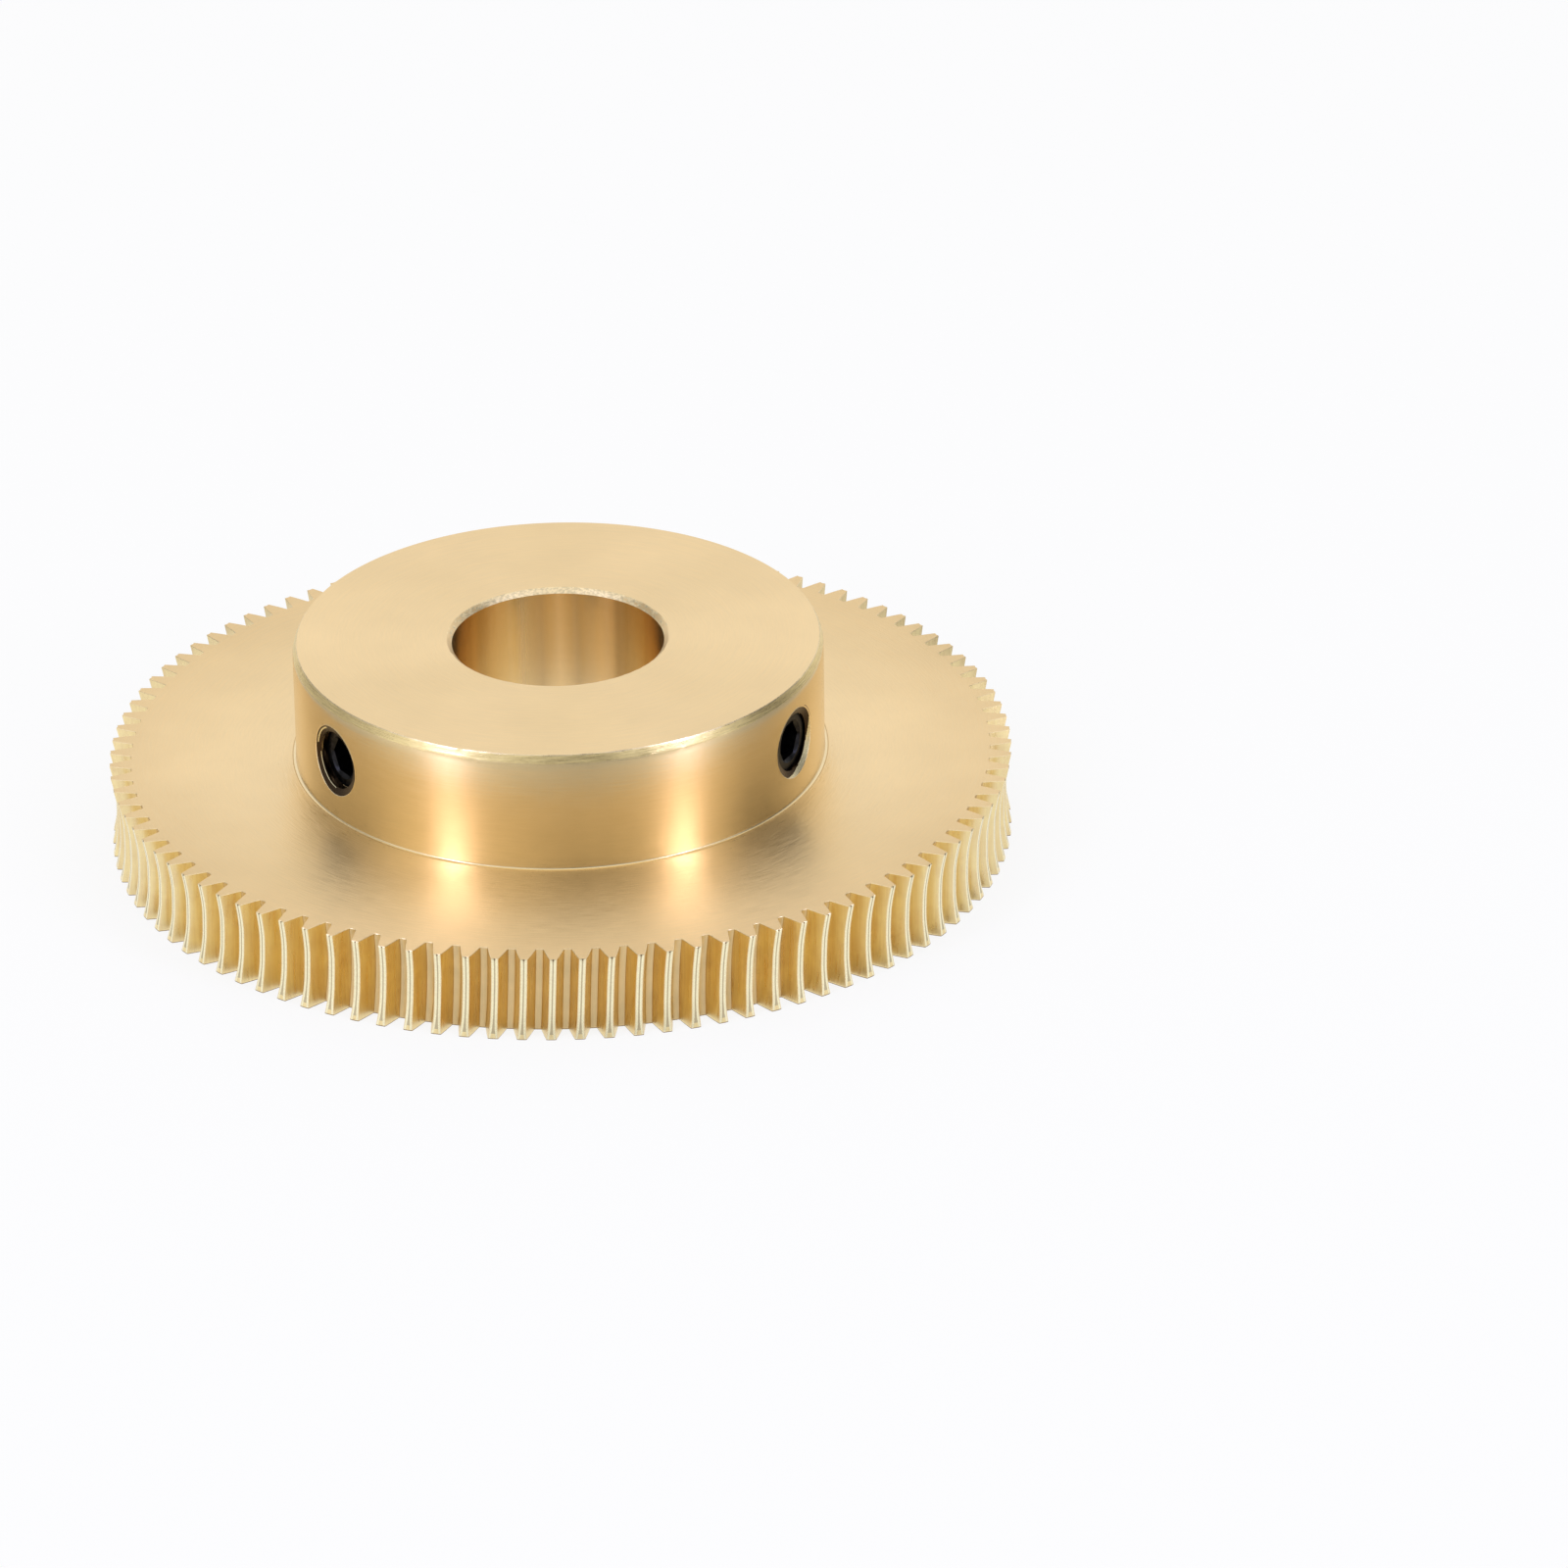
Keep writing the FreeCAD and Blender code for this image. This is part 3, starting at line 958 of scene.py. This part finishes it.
def metal(nodes, base, roughness, anisotropy=0.0):
    """Sets the shader to bare metal, with its shine drawn out across the turning marks."""
    nodes.fill(nodes.shader, {"Base Color": base, "Metallic": 1.0, "Roughness": roughness})
    if anisotropy:
        tangent = nodes.add("Tangent", direction_type="RADIAL", axis="Z").outputs["Tangent"]
        nodes.fill(nodes.shader, {"Anisotropic": anisotropy, "Tangent": tangent,
                                  "Anisotropic Rotation": QUARTER_TURN})


def turned_brass(name, base, grain, smooth, anisotropy, around, outward=0.0):
    """Faces and hub wall: satin, with fine turning marks and a few pits.

    Outward is how much rougher it gets from the hub to the rim.
    """
    nodes = Nodes(bpy.data.materials.new(name))
    marks = turning_noise(nodes, across=9000, around=around)
    patches = plain_noise(nodes, scale=260)
    mixed = nodes.maths("SUBTRACT", nodes.mix(marks, patches, share=0.6),
                        pits(nodes, cells=700, share=0.05, size=0.045))
    roughness = nodes.spread(marks, low=smooth, more=0.1)
    if outward:
        _, radius, _ = flat_place(nodes)
        more = nodes.add("MapRange", {"Value": radius, "From Min": FLANGE_INSIDE,
                                      "From Max": WHEEL_HIGH.x, "To Max": outward})
        roughness = nodes.maths("ADD", roughness, more.outputs["Result"])
    metal(nodes, nodes.shade(mixed, base, dark=0.94, light=1.05), roughness, anisotropy)
    bump(nodes, marks, strength=grain, distance=0.02 * MM)
    return nodes.owner


def bore_brass(base, grain):
    """Bore wall: smoother than the faces, with soft upright streaks of painted reflection."""
    nodes = Nodes(bpy.data.materials.new("bore_brass"))
    marks = turning_noise(nodes, across=5000, around=1.5)
    patches = turning_noise(nodes, across=0.0, around=9.0, detail=2.0)
    flat, _, _ = flat_place(nodes)
    sides = nodes.add("SeparateXYZ", {"Vector": flat}).outputs
    bearing = nodes.maths("ARCTAN2", sides["X"], sides["Y"])
    around = nodes.maths("ADD", nodes.maths("DIVIDE", bearing, FULL_TURN), 0.5)
    # Painted reflections: the bore's colour grows lighter and darker by bearing, as upright
    # streaks.
    streaks = nodes.tones(around, base, BORE_PAINTED_REFLECTIONS)
    mixed = nodes.mix(marks, patches, share=0.5)
    shade = nodes.shade(mixed, (1, 1, 1), dark=0.93, light=1.04)
    metal(nodes, nodes.times(streaks, shade), nodes.spread(patches, low=0.18, more=0.1),
          anisotropy=0.7)
    bump(nodes, marks, strength=grain, distance=0.002 * MM)
    return nodes.owner


def chamfer_brass(base):
    """Chamfers: broken with a rough tool, whose short marks glint."""
    nodes = Nodes(bpy.data.materials.new("chamfer_brass"))
    marks = turning_noise(nodes, across=12000, around=9)
    tears = turning_noise(nodes, across=14000, around=70, detail=2.0)
    mixed = nodes.mix(marks, tears, share=0.7)
    metal(nodes, nodes.shade(mixed, base, dark=0.76, light=1.04, first=0.38, last=0.62),
          nodes.spread(marks, low=0.22, more=0.2), anisotropy=0.6)
    bump(nodes, mixed, strength=0.9, distance=0.02 * MM)
    return nodes.owner


def torn_brass(base):
    """Where the tool tore the bore's chamfer: small bright and dark spots."""
    nodes = Nodes(bpy.data.materials.new("torn_brass"))
    spots = plain_noise(nodes, scale=5500, stretch=(1, 1, 2), detail=3.0)
    metal(nodes, nodes.shade(spots, base, dark=0.78, light=1.1, first=0.38, last=0.62),
          nodes.spread(spots, low=0.3, more=0.15))
    bump(nodes, spots, strength=0.6, distance=0.03 * MM)
    return nodes.owner


def cut_brass(name, base, smooth):
    """Flanks, roots and threads: streaked along the tooth by the hob."""
    nodes = Nodes(bpy.data.materials.new(name))
    streaks = plain_noise(nodes, scale=6000, stretch=(1, 1, 0.03))
    patches = plain_noise(nodes, scale=900)
    mixed = nodes.mix(streaks, patches, share=0.6)
    metal(nodes, nodes.shade(mixed, base, dark=0.82, light=1.12),
          nodes.spread(streaks, low=smooth, more=0.12))
    bump(nodes, streaks, strength=0.3, distance=0.006 * MM)
    return nodes.owner


def edge_brass(name, base, smooth):
    """Narrow lands and burrs along the edges, and lines of painted highlight and painted shade."""
    nodes = Nodes(bpy.data.materials.new(name))
    specks = plain_noise(nodes, scale=6000)
    metal(nodes, nodes.shade(specks, base, dark=0.94, light=1.05),
          nodes.spread(specks, low=smooth, more=0.1))
    bump(nodes, specks, strength=0.1, distance=0.004 * MM)
    return nodes.owner


def black_oxide(name, base, smooth):
    """Set screws: thin black oxide over steel."""
    nodes = Nodes(bpy.data.materials.new(name))
    specks = plain_noise(nodes, scale=3000, detail=4.0)
    metal(nodes, nodes.shade(specks, base, dark=0.7, light=1.5),
          nodes.spread(specks, low=smooth, more=0.15))
    bump(nodes, specks, strength=0.3, distance=0.01 * MM)
    return nodes.owner


def wheel_materials(finish):
    """All the brass finishes by name."""
    return {
        "face": turned_brass("face_brass", finish.brass, FACE_GRAIN * finish.grain, smooth=0.34,
                             anisotropy=0.72, around=6),
        "flange": turned_brass("flange_brass", finish.brass, FLANGE_GRAIN * finish.grain,
                               smooth=0.25, anisotropy=0.72, around=16, outward=0.23),
        "hub": turned_brass("hub_brass", finish.hub, finish.grain, smooth=0.16, anisotropy=0.2,
                            around=8),
        "chamfer": chamfer_brass(finish.chamfer),
        "torn": torn_brass(finish.torn),
        "bore": bore_brass(finish.brass, finish.grain),
        # Threads in the holes: dark brass darkened further, as painted shade.
        "thread": cut_brass("thread_painted_shade_brass", toned(finish.dark, THREAD_PAINTED_SHADE_TONE), smooth=0.25),
        "root": cut_brass("root_brass", finish.root, smooth=0.3),
        "flank": cut_brass("flank_brass", finish.cut, smooth=0.25),
        # Painted highlight on the tooth tips and the holes' chamfers.
        "bright": edge_brass("painted_highlight_brass", finish.bright, smooth=0.2),
        # Painted shade along the middle of the tooth tips.
        "line": edge_brass("painted_shade_line_brass", finish.tip_painted_shade, smooth=0.35),
        "edge": edge_brass("edge_brass", finish.edge, smooth=0.25),
        "dark": edge_brass("dark_brass", finish.dark, smooth=0.35),
    }


def screw_materials(finish):
    """The screws' finishes by name."""
    return {
        "black": black_oxide("black_oxide", finish.screw, smooth=0.3),
        # Bare edges: worn steel, and on the head's edge partly a painted highlight.
        "worn": black_oxide("worn_oxide_and_highlight", toned(finish.screw, WORN_AND_HIGHLIGHT_TONE), smooth=0.25),
    }


class WORMWHEEL_OT_wheel(bpy.types.Operator):
    """Makes the brass wheel with its teeth, hub, bore and tapped holes"""

    bl_idname = "worm_wheel.wheel"
    bl_label = "Wheel"

    def execute(self, context):
        scene = context.scene
        materials = wheel_materials(scene.worm_wheel_finish)
        wheel = make_wheel(scene.worm_wheel_sizes, materials)
        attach(wheel, "root")
        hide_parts("worm_wheel")
        return {"FINISHED"}


class WORMWHEEL_OT_screws(bpy.types.Operator):
    """Makes the two set screws in the hub"""

    bl_idname = "worm_wheel.screws"
    bl_label = "Set screws"

    def execute(self, context):
        scene = context.scene
        materials = screw_materials(scene.worm_wheel_finish)
        for side, word in ((-1, "left"), (1, "right")):
            screw = make_set_screw(scene.worm_wheel_sizes, f"{word}_set_screw", side, materials)
            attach(screw, "root")
            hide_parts(f"set_screw_{word}")
        return {"FINISHED"}


def stage_point(bearing, distance, height):
    """A point of the studio from its bearing, distance and height."""
    return polar(math.radians(CAMERA_AZIMUTH + bearing), distance, height)


def add_camera():
    """The camera, where the photograph was taken from."""
    data = bpy.data.cameras.new("camera")
    data.lens = CAMERA_LENS
    data.sensor_width = CAMERA_SENSOR
    data.clip_start, data.clip_end = CAMERA_CLIP
    camera = bpy.data.objects.new("camera", data)
    camera.matrix_world = (
        Matrix.Translation(CAMERA_PLACE)
        @ Matrix.Rotation(math.radians(CAMERA_AZIMUTH), 4, "Z")
        @ Matrix.Rotation(math.radians(90 - CAMERA_ELEVATION), 4, "X")
        @ Matrix.Rotation(math.radians(CAMERA_ROLL), 4, "Z")
    )
    bpy.context.scene.collection.objects.link(camera)
    bpy.context.scene.camera = camera


def add_lamp(name, bearing, elevation, width, height, brightness):
    """An upright soft lamp that faces the wheel."""
    data = bpy.data.lights.new(name, "AREA")
    data.shape = "RECTANGLE"
    data.size = width
    data.size_y = height
    data.energy = brightness * math.pi * width * height
    data.color = LAMP_COLOUR
    slope = math.radians(elevation)
    place = stage_point(bearing, LAMP_DISTANCE * math.cos(slope),
                        LAMP_DISTANCE * math.sin(slope))
    lamp = bpy.data.objects.new(name, data)
    lamp.location = place
    lamp.rotation_euler = (-place).to_track_quat("-Z", "Y").to_euler()
    lamp.visible_camera = False
    bpy.context.scene.collection.objects.link(lamp)


def wall_tone(bearing):
    """The wall's brightness at a bearing, as a share of its setting."""
    for (first, tone), (last, next_tone) in zip(WALL_TONES, WALL_TONES[1:]):
        if bearing <= last:
            return tone + (next_tone - tone) * (bearing - first) / (last - first)
    return WALL_TONES[-1][1]


def add_wall(brightness):
    """The grey wall round the camera, which only the metal sees."""
    mesh = bmesh.new()
    tones = mesh.verts.layers.float.new("tone")
    rows = []
    for height in (0, WALL_HEIGHT):
        row = []
        for bearing in range(WALL_TONES[0][0], WALL_TONES[-1][0] + 1, WALL_STEP):
            point = mesh.verts.new(stage_point(bearing, WALL_RADIUS, height))
            point[tones] = wall_tone(bearing)
            row.append(point)
        rows.append(row)
    for step in range(len(rows[0]) - 1):
        mesh.faces.new((rows[0][step], rows[0][step + 1], rows[1][step + 1], rows[1][step]))
    nodes = Nodes(bpy.data.materials.new("studio_wall"))
    tone = nodes.add("Attribute", attribute_name="tone").outputs["Fac"]
    glow = nodes.add("Emission", {"Color": WHITE,
                                  "Strength": nodes.maths("MULTIPLY", tone, brightness)})
    nodes.fill(nodes.tree.nodes["Material Output"], {"Surface": glow.outputs["Emission"]})
    wall = new_object("studio_wall", mesh, [nodes.owner])
    wall.visible_camera = False


def seen_directly(nodes):
    """One for rays from the camera, from shiny surfaces and through glass."""
    path = nodes.add("LightPath").outputs
    seen = nodes.maths("MAXIMUM", path["Is Camera Ray"], path["Is Glossy Ray"])
    return nodes.maths("MAXIMUM", seen, path["Is Transmission Ray"])


def add_floor(floor_colour):
    """A pale floor that keeps a soft shadow under the wheel."""
    mesh = bmesh.new()
    corners = [mesh.verts.new((x * FLOOR_REACH, y * FLOOR_REACH, 0))
               for x, y in ((-1, -1), (1, -1), (1, 1), (-1, 1))]
    mesh.faces.new(corners)
    nodes = Nodes(bpy.data.materials.new("floor"))
    nodes.fill(nodes.shader, {"Base Color": (*floor_colour, 1), "Roughness": FLOOR_ROUGHNESS,
                              "Specular IOR Level": 0.0})
    white = nodes.add("Emission", {"Color": WHITE, "Strength": 1.0}).outputs["Emission"]
    share = nodes.maths("MULTIPLY", seen_directly(nodes), WHITE_SHARE)
    mixed = nodes.add("MixShader", {0: share, 1: nodes.shader.outputs["BSDF"], 2: white})
    place = nodes.add("TexCoord").outputs["Object"]
    away = nodes.add("VectorMath", {0: place}, operation="LENGTH").outputs["Value"]
    beyond = nodes.maths("MULTIPLY", nodes.maths("GREATER_THAN", away, SHINE_FROM), SHINE_SHARE)
    mirrored = nodes.add("LightPath").outputs["Is Glossy Ray"]
    shiny = nodes.add("BsdfGlossy", {"Color": FLOOR_SHINE, "Roughness": SHINE_ROUGHNESS})
    mixed = nodes.add("MixShader", {0: nodes.maths("MULTIPLY", beyond, mirrored),
                                    1: mixed.outputs["Shader"], 2: shiny.outputs["BSDF"]})
    nodes.fill(nodes.tree.nodes["Material Output"], {"Surface": mixed.outputs["Shader"]})
    floor = new_object("floor", mesh, [nodes.owner])


def add_sky(brightness):
    """Even light from all round, and a white background."""
    world = bpy.data.worlds.new("studio")
    bpy.context.scene.world = world
    nodes = Nodes(world)
    lit = nodes.tree.nodes["Background"]
    nodes.fill(lit, {"Color": WHITE, "Strength": brightness})
    white = nodes.add("Background", {"Color": WHITE, "Strength": 1.0})
    mixed = nodes.add("MixShader", {0: seen_directly(nodes), 1: lit.outputs["Background"],
                                    2: white.outputs["Background"]})
    nodes.fill(nodes.tree.nodes["World Output"], {"Surface": mixed.outputs["Shader"]})


class WORMWHEEL_OT_stage(bpy.types.Operator):
    """Sets up the floor, the light and the camera"""

    bl_idname = "worm_wheel.stage"
    bl_label = "Stage"

    def execute(self, context):
        stage = context.scene.worm_wheel_stage
        add_camera()
        add_floor(stage.floor)
        add_wall(stage.wall)
        add_sky(stage.sky)
        for name, bearing, elevation, width, height in LAMPS:
            add_lamp(name, bearing, elevation, width, height, stage.lamp)
        context.scene.view_settings.view_transform = "Standard"
        return {"FINISHED"}


class WORMWHEEL_PT_panel(bpy.types.Panel):
    """Sizes, finishes and makers of the worm wheel"""

    bl_label = "Worm Wheel"
    bl_space_type = "VIEW_3D"
    bl_region_type = "UI"
    bl_category = "Worm Wheel"

    def draw(self, context):
        for group, operators in PANEL_ROWS:
            column = self.layout.column()
            settings = getattr(context.scene, group)
            for name in settings.bl_rna.properties.keys():
                if name not in ("rna_type", "name"):
                    column.prop(settings, name)
            for operator in operators:
                column.operator(operator.bl_idname)


# The panel's groups of settings, each with the operators below it.
PANEL_ROWS = (
    ("worm_wheel_sizes", ()),
    ("worm_wheel_finish", (WORMWHEEL_OT_wheel, WORMWHEEL_OT_screws)),
    ("worm_wheel_stage", (WORMWHEEL_OT_stage,)),
)
GROUPS = {
    "worm_wheel_sizes": WormWheelSizes,
    "worm_wheel_finish": WormWheelFinish,
    "worm_wheel_stage": WormWheelStage,
}
CLASSES = (*GROUPS.values(), WORMWHEEL_OT_wheel, WORMWHEEL_OT_screws, WORMWHEEL_OT_stage,
           WORMWHEEL_PT_panel)


def register():
    """Adds the classes and the three groups of settings."""
    for item in CLASSES:
        bpy.utils.register_class(item)
    for name, group in GROUPS.items():
        setattr(bpy.types.Scene, name, bpy.props.PointerProperty(type=group))


def unregister():
    """Takes the settings and classes away again."""
    for name in GROUPS:
        delattr(bpy.types.Scene, name)
    for item in reversed(CLASSES):
        bpy.utils.unregister_class(item)


def main():
    """Makes the wheel, its screws and the stage."""
    register()
    bpy.ops.worm_wheel.wheel()
    bpy.ops.worm_wheel.screws()
    bpy.ops.worm_wheel.stage()


if __name__ == "__main__":
    main()
